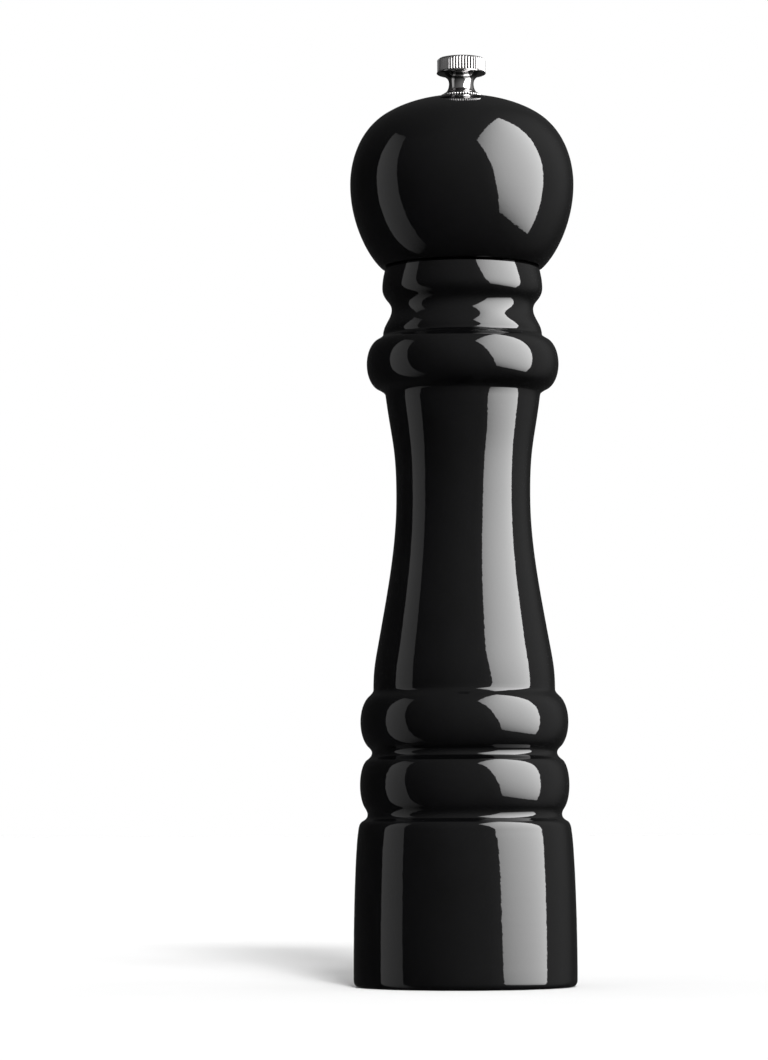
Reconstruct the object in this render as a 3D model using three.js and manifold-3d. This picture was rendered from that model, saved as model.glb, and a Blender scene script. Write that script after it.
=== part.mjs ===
// Turned wooden pepper mill, 300 mm tall, with its grinding mechanism.
//
// Millimetres, +Z up. The origin is the centre of the foot, on the table, and Z is the
// turning axis. The head turns a square spindle, the spindle turns the inner burr inside
// the outer burr, and the nut on top sets the gap between the two burrs.

import * as THREE from 'three';
import { mergeVertices } from 'three/addons/utils/BufferGeometryUtils.js';
import Module from 'manifold-3d';

const wasm = await Module();
wasm.setup();

// ---- driving dimensions ---------------------------------------------------------------

const FIT_GAP = 0.3;            // between faces that touch on the real mill
const TURNED_SIDES = 40;        // sides of the large turned shapes
const ROUND_SIDES = 24;         // sides of the medium round parts
const SCREW_SIDES = 12;         // sides of screws and their holes
const HEAD_STEPS = 6;           // steps of each of the dome's curves
const HOLE_OVERRUN = 1;         // how far a cutter passes the face that it opens
const TOUCH = 0.01;             // how near a point must be to a limit to count as on it
const WELD = 1e-4;              // points nearer than this are one point

// Body: the outside, from the foot up.
const FOOT = { radius: 35.8, fillet: 2.2 };
const SKIRT_TOP = { r: 34.2, z: 49.7 };
const SHOULDER = { r: 32.6, z: 53 };
const LOWER_BEAD = { r: 33.6, z: 64.4, depth: 3.1, half: 8.4, from: -62.4, to: 71.2 };
const UPPER_BEAD = { r: 33.4, z: 84.6, depth: 4.8, half: 9.1, from: -65.0, to: 60.8 };
const WAIST_FOOT = { r: 29.2, z: 94.9 };
const WAIST_FLANK = { r: 27.2, z: 111.8, lean: 0.18 };
const WAIST = { r: 21.6, z: 157.2 };
const WAIST_TOP = { r: 25, z: 190.2, lean: 0.128 };
const COLLAR = { r: 31, z: 200.1, depth: 4.8, half: 8.2, from: -68.3, to: 66.3 };
const NECK_FOOT = { r: 25.7, z: 209.5 };
const NECK_COVE = { r: 22.9, z: 217.8 };
const NECK_RIM = { r: 25.9, z: 224.8 };
const BODY_TOP = { r: 24.9, z: 231.3 };

// The points that steer the body's curves between the places above, foot upward.
const SKIRT_FLANK = { r: 35.9, z: 22.9 };
const SKIRT_SHOULDER = { r: 35, z: 45.5 };
const SHOULDER_ROUND = { r: 34, z: 52.4 };
const SHOULDER_HOLLOW = { r: 30.2, z: 54.3 };
const BEAD_HOLLOW = { r: 28.5, z: 74.4 };
const WAIST_FOOT_HOLLOW = { r: 29.1, z: 94.2 };
const COLLAR_HOLLOW = { r: 25.1, z: 191.1 };
const NECK_HOLLOW = { r: 25.7, z: 208.9 };
// How far the waist's and the neck's curves run straight on from their joins.
const WAIST_RUN = { foot: 6.9, belowFlank: 7.1, aboveFlank: 16.8, belowWaist: 15, aboveWaist: 16.5,
  top: 15 };
const NECK_RUN = { foot: 3.3, cove: 2.9, rimBelow: 3.6, rimAbove: 2.6, top: 1.2, topOut: 0.3 };

// Body: the inside.
const CHAMBER_RADIUS = 16;
const BURR_BORE = { radius: 21.5, top: 50.3 };
const FOOT_RECESS = { radius: 27, top: 8 };

// Head.
const HEAD_FOOT = { r: 26.1, z: 231.6, rise: 41.2 };
const HEAD_EQUATOR = { r: 36.2, z: 258.6 };
const HEAD_SHOULDER = { r: 25.4, z: 281, fall: 33 };
const HEAD_TOP = 287.2;
const HEAD_CROWN_RADIUS = 11.2; // where the dome's flat top begins to turn down
// How far the dome's curves run straight on from their joins.
const HEAD_RUN = { foot: 5.7, belowEquator: 12.4, aboveEquator: 8, belowShoulder: 9.3, aboveShoulder: 6.8 };
const SPIGOT_CHAMFER = 0.8;
const SPIGOT = { radius: 15.5, bottom: 218.3 };
const SPINDLE_BORE = { radius: 5, top: 276 };
const STUD_BORE_RADIUS = 2.9;

// Nut and the beaded washer under it.
const NUT = { radius: 8, top: 300, bandTop: 299.6, bandBottom: 295.8, lip: 295.1 };
const NUT_WAIST = { r: 4, z: 291.4 };
const NUT_FOOT = { r: 4.8, z: 289.1, rise: 0.9 };
const NUT_CUP = { startRise: 1.8, r: 4.9, z: 294.2, lipIn: 0.5, lipDrop: 0.3 };
const NUT_CHAMFER = 0.4;
const NUT_BORE = { radius: 2.8, top: 298.3 };
const KNURLS = 48;
const KNURL_DEPTH = 0.35;
const WASHER = { radius: 6.8, bottom: 287.5, rim: 288, crownRadius: 4.9, top: 288.8 };
const WASHER_BEADS = 44;
const WASHER_BEAD_DEPTH = 0.2;

// Spindle: a square bar with a round threaded end at each end.
const SPINDLE = { side: 6, corner: 0.6, bottom: 13, top: 273.5 };
const STUD = { radius: 2.5, top: 296.5, chamfer: 0.5 };
const STUB = { radius: 2.5, bottom: 3 };
const SQUARE_HOLE_GAP = 0.4;

// Drive plate, under the spigot.
const DRIVE_PLATE = { radius: 13.5, bottom: 216.5, top: 218.0 };
const PLATE_SCREW = { head: 2.3, headHeight: 1.3, shank: 1.2, length: 9, circle: 9.8 };
const PLATE_SCREWS = 3;

// Grinding set. The burrs' cones widen downward: the gap between them closes as the
// inner burr rises.
const BURR_HOUSING = { radius: 21.2, bore: 19.8, hopper: 18.6, shoulder: 32.3, top: 48, lipRadius: 15.6,
  lipHeight: 1.4 };
const HOUSING_FLANGE = { radius: 26.4, bottom: 6.3, top: 7.7 };
const OUTER_BURR = { radius: 19.5, bottom: 6.3, top: 32, skirt: 17.6, teethBottom: 14, waistR: 13.4,
  waistZ: 22, mouth: 15.6 };
const INNER_BURR = { bottom: 13, coneTop: 20.5, top: 29, topRadius: 7.2 };
const CONE_SLOPE = 0.4;         // how fast the grinding cone narrows upward
const GRIND_GAP = 0.9;          // between the ridges at the coarsest setting
const OUTER_TEETH = 20;
const INNER_TEETH = 16;
const TOOTH_DEPTH = 0.8;
const TOOTH_TWIST = 1.6;        // the inner teeth's lead, in degrees per millimetre of height

// Spring, its washer and the bridge above them.
const BRIDGE = { bottom: 45, top: 46.3, width: 8, boss: 7.8, hole: 4.7, reach: 18.2 };
const RIVET = { circle: 16.9, shank: 0.9, head: 1.5, headHeight: 0.9 };
const SPRING_WASHER = { radius: 7.2, hole: 4.6, bottom: 43.4, top: 44.7 };
const SPRING = { coil: 5.4, wire: 0.6, bottom: 29.3, top: 43.1, turns: 5, closing: 0.45 };
const SPRING_SIDES = 8;
const SPRING_STEPS_PER_TURN = 12;

// What holds the inner burr on the spindle.
const BURR_WASHER = { radius: 6.2, hole: 2.8, bottom: 11.4, top: 12.7 };
const BURR_NUT = { flats: 8, hole: 2.8, bottom: 7.4, top: 11.1 };
const HEXAGON = 6;              // sides of the nut

// Bar across the foot, and its two wood screws.
const BAR = { bottom: 4.5, top: 6, width: 9, hole: 2.9, reach: 26.1 };
const BAR_SCREW = { head: 3, headHeight: 1.6, shank: 1.5, length: 15, circle: 23.8 };
const SCREW_SLOT = { width: 0.8, depth: 0.7 };
const SCREW_CLEARANCE = 0.4;
const SCREW_DOME = { flat: 0.7, edge: 0.5 };    // parts of a screw head's radius and height
const SCREW_POINT = 2;                          // length of a screw's point, in shank radii
const RIVET_DOME = 0.6;                         // the flat's part of a rivet head's radius

// ---- materials --------------------------------------------------------------------------

const LACQUER = { color: 0x0b0b0c, roughness: 0.12, metalness: 0 };
const CHROME = { color: 0xc2c1c1, roughness: 0.08, metalness: 1 };
const STEEL = { color: 0x9a9da1, roughness: 0.32, metalness: 1 };
const HARD_STEEL = { color: 0x6d6f73, roughness: 0.42, metalness: 1 };
const ZINC = { color: 0xb4b6b8, roughness: 0.35, metalness: 1 };

// ---- outlines and solids ------------------------------------------------------------------

// An outline to be turned about Z: each point is a radius and a height.
class Outline {
  constructor(r, z) {
    this.points = [new THREE.Vector2(r, z)];
  }

  get end() {
    return this.points[this.points.length - 1];
  }

  line(r, z) {
    this.points.push(new THREE.Vector2(r, z));
    return this;
  }

  follow(curve, steps) {
    this.points.push(...curve.getPoints(steps).slice(1));
    return this;
  }

  quadratic(controlR, controlZ, r, z, steps = 2) {
    const control = new THREE.Vector2(controlR, controlZ);
    return this.follow(new THREE.QuadraticBezierCurve(this.end, control, new THREE.Vector2(r, z)), steps);
  }

  cubic(firstR, firstZ, secondR, secondZ, r, z, steps = 4) {
    const first = new THREE.Vector2(firstR, firstZ);
    const second = new THREE.Vector2(secondR, secondZ);
    return this.follow(new THREE.CubicBezierCurve(this.end, first, second, new THREE.Vector2(r, z)), steps);
  }

  // The part of a bead that stands out, after its first point.
  bead(shape, steps = 5) {
    return this.follow(beadCurve(shape), steps);
  }
}

function beadCurve(shape) {
  const from = THREE.MathUtils.degToRad(shape.from);
  const to = THREE.MathUtils.degToRad(shape.to);
  return new THREE.EllipseCurve(shape.r - shape.depth, shape.z, shape.depth, shape.half, from, to);
}

// Turns an outline that runs up the outside and closes on itself or on the axis.
function turned(outline, sides) {
  const lathe = new THREE.LatheGeometry(outline.points, sides);
  lathe.rotateX(Math.PI / 2);
  return lathe;
}

function ring(outer, inner, bottom, top, sides) {
  return turned(new Outline(inner, bottom).line(outer, bottom).line(outer, top)
    .line(inner, top).line(inner, bottom), sides);
}

function post(radius, bottom, top, sides) {
  return turned(new Outline(0, bottom).line(radius, bottom).line(radius, top).line(0, top), sides);
}

function postAt(x, y, radius, bottom, top, sides = SCREW_SIDES) {
  return post(radius, bottom, top, sides).translate(x, y, 0);
}

function slab(shape, bottom, top) {
  const extrusion = new THREE.ExtrudeGeometry(shape, { depth: top - bottom, bevelEnabled: false });
  return extrusion.translate(0, 0, bottom);
}

function block(width, depth, bottom, top) {
  return new THREE.BoxGeometry(width, depth, top - bottom).translate(0, 0, (bottom + top) / 2);
}

// A square with its corners cut off at 45 degrees.
function squareShape(side, corner) {
  const half = side / 2;
  const flat = half - corner;
  return new THREE.Shape([
    new THREE.Vector2(half, -flat), new THREE.Vector2(half, flat),
    new THREE.Vector2(flat, half), new THREE.Vector2(-flat, half),
    new THREE.Vector2(-half, flat), new THREE.Vector2(-half, -flat),
    new THREE.Vector2(-flat, -half), new THREE.Vector2(flat, -half),
  ]);
}

function squareHole(bottom, top) {
  const side = SPINDLE.side + 2 * SQUARE_HOLE_GAP;
  return slab(squareShape(side, SPINDLE.corner), bottom, top);
}

// ---- booleans -----------------------------------------------------------------------------

function solid(geometry) {
  const bare = geometry.clone();
  bare.deleteAttribute('normal');
  bare.deleteAttribute('uv');
  const merged = mergeVertices(bare, WELD);
  const index = merged.index.array;
  const kept = [];
  for (let i = 0; i < index.length; i += 3) {
    const [a, b, c] = [index[i], index[i + 1], index[i + 2]];
    if (a !== b && b !== c && c !== a) kept.push(a, b, c);
  }
  return new wasm.Manifold(new wasm.Mesh({
    numProp: 3,
    vertProperties: Float32Array.from(merged.attributes.position.array),
    triVerts: Uint32Array.from(kept),
  }));
}

function geometryOf(manifold) {
  const mesh = manifold.getMesh();
  const geometry = new THREE.BufferGeometry();
  geometry.setAttribute('position', new THREE.BufferAttribute(mesh.vertProperties, 3));
  geometry.setIndex(new THREE.BufferAttribute(mesh.triVerts, 1));
  geometry.computeVertexNormals();
  return geometry;
}

function join(first, ...others) {
  return geometryOf(others.reduce((sum, other) => sum.add(solid(other)), solid(first)));
}

function cut(first, ...tools) {
  return geometryOf(tools.reduce((rest, tool) => rest.subtract(solid(tool)), solid(first)));
}

function overlapOf(first, second) {
  return geometryOf(solid(first).intersect(solid(second)));
}

// ---- the assembly ---------------------------------------------------------------------------

const mill = new THREE.Group();

function addPart(name, geometry, finish) {
  const mesh = new THREE.Mesh(geometry, new THREE.MeshStandardMaterial(finish));
  mesh.name = name;
  mill.add(mesh);
  return mesh;
}

// The points of an even circle of fasteners, the first one on +Y.
function circlePoints(count, radius) {
  const points = [];
  for (let i = 0; i < count; i += 1) {
    const angle = Math.PI / 2 + (2 * Math.PI * i) / count;
    points.push([radius * Math.cos(angle), radius * Math.sin(angle)]);
  }
  return points;
}

const barScrewPoints = circlePoints(2, BAR_SCREW.circle);
const plateScrewPoints = circlePoints(PLATE_SCREWS, PLATE_SCREW.circle);
const rivetPlaces = [-RIVET.circle, RIVET.circle];

// The waist is one long curve: it leaves upright, leans in at the flank, and is upright
// again at its narrowest place.
function addWaist(outline) {
  const { r: flankR, z: flankZ, lean } = WAIST_FLANK;
  const run = WAIST_RUN;
  outline.cubic(WAIST_FOOT.r, WAIST_FOOT.z + run.foot,
    flankR + lean * run.belowFlank, flankZ - run.belowFlank, flankR, flankZ);
  outline.cubic(flankR - lean * run.aboveFlank, flankZ + run.aboveFlank,
    WAIST.r, WAIST.z - run.belowWaist, WAIST.r, WAIST.z);
  outline.cubic(WAIST.r, WAIST.z + run.aboveWaist,
    WAIST_TOP.r - WAIST_TOP.lean * run.top, WAIST_TOP.z - run.top, WAIST_TOP.r, WAIST_TOP.z);
}

function addNeck(outline) {
  const run = NECK_RUN;
  outline.cubic(NECK_FOOT.r, NECK_FOOT.z + run.foot,
    NECK_COVE.r, NECK_COVE.z - run.cove, NECK_COVE.r, NECK_COVE.z);
  outline.cubic(NECK_COVE.r, NECK_COVE.z + run.cove,
    NECK_RIM.r, NECK_RIM.z - run.rimBelow, NECK_RIM.r, NECK_RIM.z);
  outline.cubic(NECK_RIM.r, NECK_RIM.z + run.rimAbove,
    BODY_TOP.r + run.topOut, BODY_TOP.z - run.top, BODY_TOP.r, BODY_TOP.z, 2);
}

function bodyOutline() {
  const lowerStart = beadCurve(LOWER_BEAD).getPoint(0);
  const upperStart = beadCurve(UPPER_BEAD).getPoint(0);
  const collarStart = beadCurve(COLLAR).getPoint(0);
  const outline = new Outline(FOOT_RECESS.radius, 0).line(FOOT.radius - FOOT.fillet, 0);
  outline.quadratic(FOOT.radius, 0, FOOT.radius, FOOT.fillet);
  outline.cubic(SKIRT_FLANK.r, SKIRT_FLANK.z, SKIRT_SHOULDER.r, SKIRT_SHOULDER.z, SKIRT_TOP.r, SKIRT_TOP.z);
  outline.quadratic(SHOULDER_ROUND.r, SHOULDER_ROUND.z, SHOULDER.r, SHOULDER.z);
  outline.quadratic(SHOULDER_HOLLOW.r, SHOULDER_HOLLOW.z, lowerStart.x, lowerStart.y);
  outline.bead(LOWER_BEAD);
  outline.quadratic(BEAD_HOLLOW.r, BEAD_HOLLOW.z, upperStart.x, upperStart.y);
  outline.bead(UPPER_BEAD);
  outline.quadratic(WAIST_FOOT_HOLLOW.r, WAIST_FOOT_HOLLOW.z, WAIST_FOOT.r, WAIST_FOOT.z, 1);
  addWaist(outline);
  outline.quadratic(COLLAR_HOLLOW.r, COLLAR_HOLLOW.z, collarStart.x, collarStart.y, 1);
  outline.bead(COLLAR);
  outline.quadratic(NECK_HOLLOW.r, NECK_HOLLOW.z, NECK_FOOT.r, NECK_FOOT.z, 1);
  addNeck(outline);
  // Down the inside: the pepper chamber, the burr bore and the recess in the foot.
  outline.line(CHAMBER_RADIUS, BODY_TOP.z);
  outline.line(CHAMBER_RADIUS, BURR_BORE.top);
  outline.line(BURR_BORE.radius, BURR_BORE.top);
  outline.line(BURR_BORE.radius, FOOT_RECESS.top);
  outline.line(FOOT_RECESS.radius, FOOT_RECESS.top);
  outline.line(FOOT_RECESS.radius, 0);
  return outline;
}

function millBody() {
  const pilotTop = BAR.bottom + BAR_SCREW.length + HOLE_OVERRUN;
  const pilots = barScrewPoints.map(([x, y]) => postAt(
    x, y, BAR_SCREW.shank + FIT_GAP, FOOT_RECESS.top - HOLE_OVERRUN, pilotTop));
  return cut(turned(bodyOutline(), TURNED_SIDES), ...pilots);
}

function headOutline() {
  const rise = THREE.MathUtils.degToRad(HEAD_FOOT.rise);
  const fall = THREE.MathUtils.degToRad(HEAD_SHOULDER.fall);
  const { r: shoulderR, z: shoulderZ } = HEAD_SHOULDER;
  const run = HEAD_RUN;
  const outline = new Outline(SPINDLE_BORE.radius, SPIGOT.bottom);
  outline.line(SPIGOT.radius - SPIGOT_CHAMFER, SPIGOT.bottom);
  outline.line(SPIGOT.radius, SPIGOT.bottom + SPIGOT_CHAMFER);
  outline.line(SPIGOT.radius, HEAD_FOOT.z);
  outline.line(HEAD_FOOT.r, HEAD_FOOT.z);
  outline.cubic(HEAD_FOOT.r + run.foot * Math.cos(rise), HEAD_FOOT.z + run.foot * Math.sin(rise),
    HEAD_EQUATOR.r, HEAD_EQUATOR.z - run.belowEquator, HEAD_EQUATOR.r, HEAD_EQUATOR.z, HEAD_STEPS);
  outline.cubic(HEAD_EQUATOR.r, HEAD_EQUATOR.z + run.aboveEquator,
    shoulderR + run.belowShoulder * Math.cos(fall), shoulderZ - run.belowShoulder * Math.sin(fall),
    shoulderR, shoulderZ, HEAD_STEPS);
  outline.cubic(
    shoulderR - run.aboveShoulder * Math.cos(fall), shoulderZ + run.aboveShoulder * Math.sin(fall),
    HEAD_CROWN_RADIUS, HEAD_TOP, STUD_BORE_RADIUS, HEAD_TOP, HEAD_STEPS);
  outline.line(STUD_BORE_RADIUS, SPINDLE_BORE.top);
  outline.line(SPINDLE_BORE.radius, SPINDLE_BORE.top);
  outline.line(SPINDLE_BORE.radius, SPIGOT.bottom);
  return outline;
}

function head() {
  const pilotTop = DRIVE_PLATE.bottom + PLATE_SCREW.length + HOLE_OVERRUN;
  const pilots = plateScrewPoints.map(([x, y]) => postAt(
    x, y, PLATE_SCREW.shank + FIT_GAP, SPIGOT.bottom - HOLE_OVERRUN, pilotTop));
  return cut(turned(headOutline(), TURNED_SIDES), ...pilots);
}

// Pulls every second column of a turned shape towards the axis, which leaves a ridge
// between each pair of grooves. shapeAt gives a point's groove depth, negative for a
// groove cut outward, and its lead about the axis in degrees.
function grooved(geometry, ridges, shapeAt) {
  const position = geometry.attributes.position;
  for (let i = 0; i < position.count; i += 1) {
    const [x, y, z] = [position.getX(i), position.getY(i), position.getZ(i)];
    const radius = Math.hypot(x, y);
    const angle = Math.atan2(y, x);
    const { depth = 0, lead = 0 } = shapeAt(radius, z);
    const isRidge = Math.round((angle / Math.PI) * ridges) % 2 === 0;
    const newRadius = isRidge ? radius : radius - depth;
    const newAngle = angle + THREE.MathUtils.degToRad(lead);
    position.setXY(i, newRadius * Math.cos(newAngle), newRadius * Math.sin(newAngle));
  }
  return geometry;
}

function thumbNut() {
  const outline = new Outline(0, NUT_BORE.top).line(NUT_BORE.radius, NUT_BORE.top);
  outline.line(NUT_BORE.radius, NUT_FOOT.z);
  outline.line(NUT_FOOT.r, NUT_FOOT.z);
  outline.quadratic(NUT_WAIST.r, NUT_FOOT.z + NUT_FOOT.rise, NUT_WAIST.r, NUT_WAIST.z, 1);
  outline.cubic(NUT_WAIST.r, NUT_WAIST.z + NUT_CUP.startRise, NUT_CUP.r, NUT_CUP.z,
    NUT.radius - NUT_CUP.lipIn, NUT.lip - NUT_CUP.lipDrop, 3);
  outline.line(NUT.radius, NUT.lip);
  outline.line(NUT.radius, NUT.bandBottom);
  outline.line(NUT.radius, NUT.bandTop);
  outline.line(NUT.radius - NUT_CHAMFER, NUT.top);
  outline.line(0, NUT.top);
  const isBand = (radius, z) => radius > NUT.radius - TOUCH
    && z > NUT.bandBottom - TOUCH && z < NUT.bandTop + TOUCH;
  return grooved(turned(outline, 2 * KNURLS), KNURLS,
    (radius, z) => ({ depth: isBand(radius, z) ? KNURL_DEPTH : 0 }));
}

function topWasher() {
  const outline = new Outline(STUD_BORE_RADIUS, WASHER.bottom).line(WASHER.radius, WASHER.bottom);
  outline.line(WASHER.radius, WASHER.rim).line(WASHER.crownRadius, WASHER.top);
  outline.line(STUD_BORE_RADIUS, WASHER.top).line(STUD_BORE_RADIUS, WASHER.bottom);
  return grooved(turned(outline, 2 * WASHER_BEADS), WASHER_BEADS,
    (radius) => ({ depth: radius > WASHER.radius - TOUCH ? WASHER_BEAD_DEPTH : 0 }));
}

function spindle() {
  const bar = slab(squareShape(SPINDLE.side, SPINDLE.corner), SPINDLE.bottom, SPINDLE.top);
  const studFoot = SPINDLE.top - HOLE_OVERRUN;
  const stud = turned(new Outline(0, studFoot).line(STUD.radius, studFoot)
    .line(STUD.radius, STUD.top - STUD.chamfer).line(STUD.radius - STUD.chamfer, STUD.top)
    .line(0, STUD.top), ROUND_SIDES);
  const stub = turned(new Outline(0, STUB.bottom).line(STUB.radius - STUD.chamfer, STUB.bottom)
    .line(STUB.radius, STUB.bottom + STUD.chamfer).line(STUB.radius, SPINDLE.bottom + HOLE_OVERRUN)
    .line(0, SPINDLE.bottom + HOLE_OVERRUN), ROUND_SIDES);
  return join(bar, stud, stub);
}

function drivePlate() {
  const { radius, bottom, top } = DRIVE_PLATE;
  const holes = plateScrewPoints.map(([x, y]) => postAt(
    x, y, PLATE_SCREW.shank + SCREW_CLEARANCE, bottom - HOLE_OVERRUN, top + HOLE_OVERRUN));
  return cut(post(radius, bottom, top, ROUND_SIDES),
    squareHole(bottom - HOLE_OVERRUN, top + HOLE_OVERRUN), ...holes);
}

// A slotted screw driven upward, with its head under the face at height face.
function screw(x, y, face, size) {
  const under = face - FIT_GAP;
  const headBottom = under - size.headHeight;
  const tip = under + size.length;
  const outline = new Outline(0, headBottom).line(SCREW_DOME.flat * size.head, headBottom);
  outline.line(size.head, headBottom + SCREW_DOME.edge * size.headHeight).line(size.head, under);
  outline.line(size.shank, under).line(size.shank, tip - SCREW_POINT * size.shank).line(0, tip);
  const slot = block(SCREW_SLOT.width, 3 * size.head, headBottom - HOLE_OVERRUN,
    headBottom + SCREW_SLOT.depth);
  return cut(turned(outline, SCREW_SIDES), slot).translate(x, y, 0);
}

function burrHousing() {
  const { radius, bore, hopper, shoulder, top, lipRadius, lipHeight } = BURR_HOUSING;
  const flange = HOUSING_FLANGE;
  const outline = new Outline(bore, flange.bottom).line(flange.radius, flange.bottom);
  outline.line(flange.radius, flange.top).line(radius, flange.top);
  outline.line(radius, top).line(lipRadius, top).line(lipRadius, top - lipHeight);
  outline.line(hopper, top - lipHeight).line(hopper, shoulder);
  outline.line(bore, shoulder).line(bore, flange.bottom);
  const screwHoles = barScrewPoints.map(([x, y]) => postAt(x, y, BAR_SCREW.shank + SCREW_CLEARANCE,
    flange.bottom - HOLE_OVERRUN, flange.top + HOLE_OVERRUN));
  const rivetHoles = rivetPlaces.map((x) => postAt(x, 0, RIVET.shank + FIT_GAP,
    top - lipHeight - HOLE_OVERRUN, top + HOLE_OVERRUN));
  return cut(turned(outline, TURNED_SIDES), ...screwHoles, ...rivetHoles);
}

// The ring that the pepper is ground against. Its cone is widest at the bottom, and
// its mouth opens again towards the chamber.
function outerBurr() {
  const { radius, bottom, top, skirt, teethBottom, waistZ, waistR, mouth } = OUTER_BURR;
  const outline = new Outline(skirt, bottom).line(radius, bottom).line(radius, top).line(mouth, top);
  outline.line(waistR, waistZ).line(outerRidge(teethBottom), teethBottom);
  outline.line(skirt, teethBottom - 1).line(skirt, bottom);
  return grooved(turned(outline, 2 * OUTER_TEETH), OUTER_TEETH,
    (r) => ({ depth: r < skirt - TOUCH ? -TOOTH_DEPTH : 0 }));
}

// Radius of the outer burr's ridges on its grinding cone.
function outerRidge(z) {
  return OUTER_BURR.waistR + CONE_SLOPE * (OUTER_BURR.waistZ - z);
}

function innerBurr() {
  const { bottom, coneTop, top, topRadius } = INNER_BURR;
  const outline = new Outline(0, bottom).line(outerRidge(bottom) - GRIND_GAP, bottom);
  const midZ = (bottom + coneTop) / 2;
  outline.line(outerRidge(midZ) - GRIND_GAP, midZ);
  outline.line(outerRidge(coneTop) - GRIND_GAP, coneTop);
  outline.line((outerRidge(coneTop) - GRIND_GAP + topRadius) / 2, (coneTop + top) / 2);
  outline.line(topRadius, top).line(0, top);
  const toothed = grooved(turned(outline, 2 * INNER_TEETH), INNER_TEETH, (r, z) => ({
    depth: r > topRadius - TOUCH ? TOOTH_DEPTH : 0,
    lead: -TOOTH_TWIST * (z - bottom),
  }));
  return cut(toothed, squareHole(bottom - HOLE_OVERRUN, top + HOLE_OVERRUN));
}

function upperBridge() {
  const { bottom, top, width, boss, hole, reach } = BRIDGE;
  const strip = overlapOf(block(2 * reach, width, bottom, top), post(reach, bottom, top, TURNED_SIDES));
  const holes = rivetPlaces.map((x) => postAt(x, 0, RIVET.shank + FIT_GAP,
    bottom - HOLE_OVERRUN, top + HOLE_OVERRUN));
  return cut(join(strip, post(boss, bottom, top, ROUND_SIDES)),
    post(hole, bottom - HOLE_OVERRUN, top + HOLE_OVERRUN, ROUND_SIDES), ...holes);
}

// A rivet through the bridge and the housing's lip, with a head at each end.
function bridgeRivet(x) {
  const lowerFace = BRIDGE.bottom - FIT_GAP;
  const upperFace = BURR_HOUSING.top + FIT_GAP;
  const lowest = lowerFace - RIVET.headHeight;
  const highest = upperFace + RIVET.headHeight;
  const outline = new Outline(0, lowest).line(RIVET.head, lowest);
  outline.line(RIVET.head, lowerFace).line(RIVET.shank, lowerFace);
  outline.line(RIVET.shank, upperFace).line(RIVET.head, upperFace);
  outline.line(RIVET_DOME * RIVET.head, highest).line(0, highest);
  return turned(outline, SCREW_SIDES).translate(x, 0, 0);
}

// The spring's centre line. Its end coils lie closer together than the middle ones.
class SpringLine extends THREE.Curve {
  getPoint(t, target = new THREE.Vector3()) {
    const angle = 2 * Math.PI * SPRING.turns * t;
    const eased = t - (SPRING.closing * Math.sin(2 * Math.PI * t)) / (2 * Math.PI);
    const lowest = SPRING.bottom + SPRING.wire;
    const highest = SPRING.top - SPRING.wire;
    return target.set(SPRING.coil * Math.cos(angle), SPRING.coil * Math.sin(angle),
      lowest + (highest - lowest) * eased);
  }
}

function grinderSpring() {
  const section = new THREE.Shape();
  section.absarc(0, 0, SPRING.wire, 0, 2 * Math.PI);
  return new THREE.ExtrudeGeometry(section, {
    steps: Math.round(SPRING.turns * SPRING_STEPS_PER_TURN),
    curveSegments: SPRING_SIDES / 2,
    extrudePath: new SpringLine(),
  });
}

function burrNut() {
  const { flats, hole, bottom, top } = BURR_NUT;
  const across = flats / Math.sqrt(3);
  const corners = [];
  for (let i = 0; i < HEXAGON; i += 1) {
    const angle = (2 * Math.PI * i) / HEXAGON;
    corners.push(new THREE.Vector2(across * Math.cos(angle), across * Math.sin(angle)));
  }
  return cut(slab(new THREE.Shape(corners), bottom, top),
    post(hole, bottom - HOLE_OVERRUN, top + HOLE_OVERRUN, ROUND_SIDES));
}

// The bar runs along Y, across the recess in the foot.
function retainingBar() {
  const { bottom, top, width, hole, reach } = BAR;
  const strip = overlapOf(block(width, 2 * reach, bottom, top), post(reach, bottom, top, TURNED_SIDES));
  const screwHoles = barScrewPoints.map(([x, y]) => postAt(x, y, BAR_SCREW.shank + SCREW_CLEARANCE,
    bottom - HOLE_OVERRUN, top + HOLE_OVERRUN));
  return cut(strip, post(hole, bottom - HOLE_OVERRUN, top + HOLE_OVERRUN, ROUND_SIDES), ...screwHoles);
}

// ---- outside ----

addPart('mill_body', millBody(), LACQUER);
addPart('head', head(), LACQUER);
addPart('thumb_nut', thumbNut(), CHROME);
addPart('top_washer', topWasher(), CHROME);

// ---- drive ----

addPart('spindle', spindle(), STEEL);
addPart('drive_plate', drivePlate(), STEEL);
plateScrewPoints.forEach(([x, y], i) => {
  addPart(`drive_plate_screw_${i + 1}`, screw(x, y, DRIVE_PLATE.bottom, PLATE_SCREW), ZINC);
});

// ---- grinding set ----

addPart('burr_housing', burrHousing(), STEEL);
addPart('outer_burr', outerBurr(), HARD_STEEL);
addPart('inner_burr', innerBurr(), HARD_STEEL);
addPart('upper_bridge', upperBridge(), STEEL);
rivetPlaces.forEach((x, i) => addPart(`bridge_rivet_${i + 1}`, bridgeRivet(x), ZINC));
addPart('spring_washer', ring(SPRING_WASHER.radius, SPRING_WASHER.hole, SPRING_WASHER.bottom,
  SPRING_WASHER.top, ROUND_SIDES), ZINC);
addPart('grinder_spring', grinderSpring(), ZINC);
addPart('burr_washer', ring(BURR_WASHER.radius, BURR_WASHER.hole, BURR_WASHER.bottom,
  BURR_WASHER.top, ROUND_SIDES), ZINC);
addPart('burr_nut', burrNut(), ZINC);
addPart('retaining_bar', retainingBar(), STEEL);
barScrewPoints.forEach(([x, y], i) => {
  addPart(`bar_screw_${i + 1}`, screw(x, y, BAR.bottom, BAR_SCREW), ZINC);
});

export default mill;
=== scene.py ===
"""The looks of the pepper mill: fine turned shapes, real threads and teeth, and procedural materials.

Sizes are millimetres until a mesh is made, where MM turns them into the frame's metres.
"""

import math

import bpy
import numpy as np
from mathutils import Matrix


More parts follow.
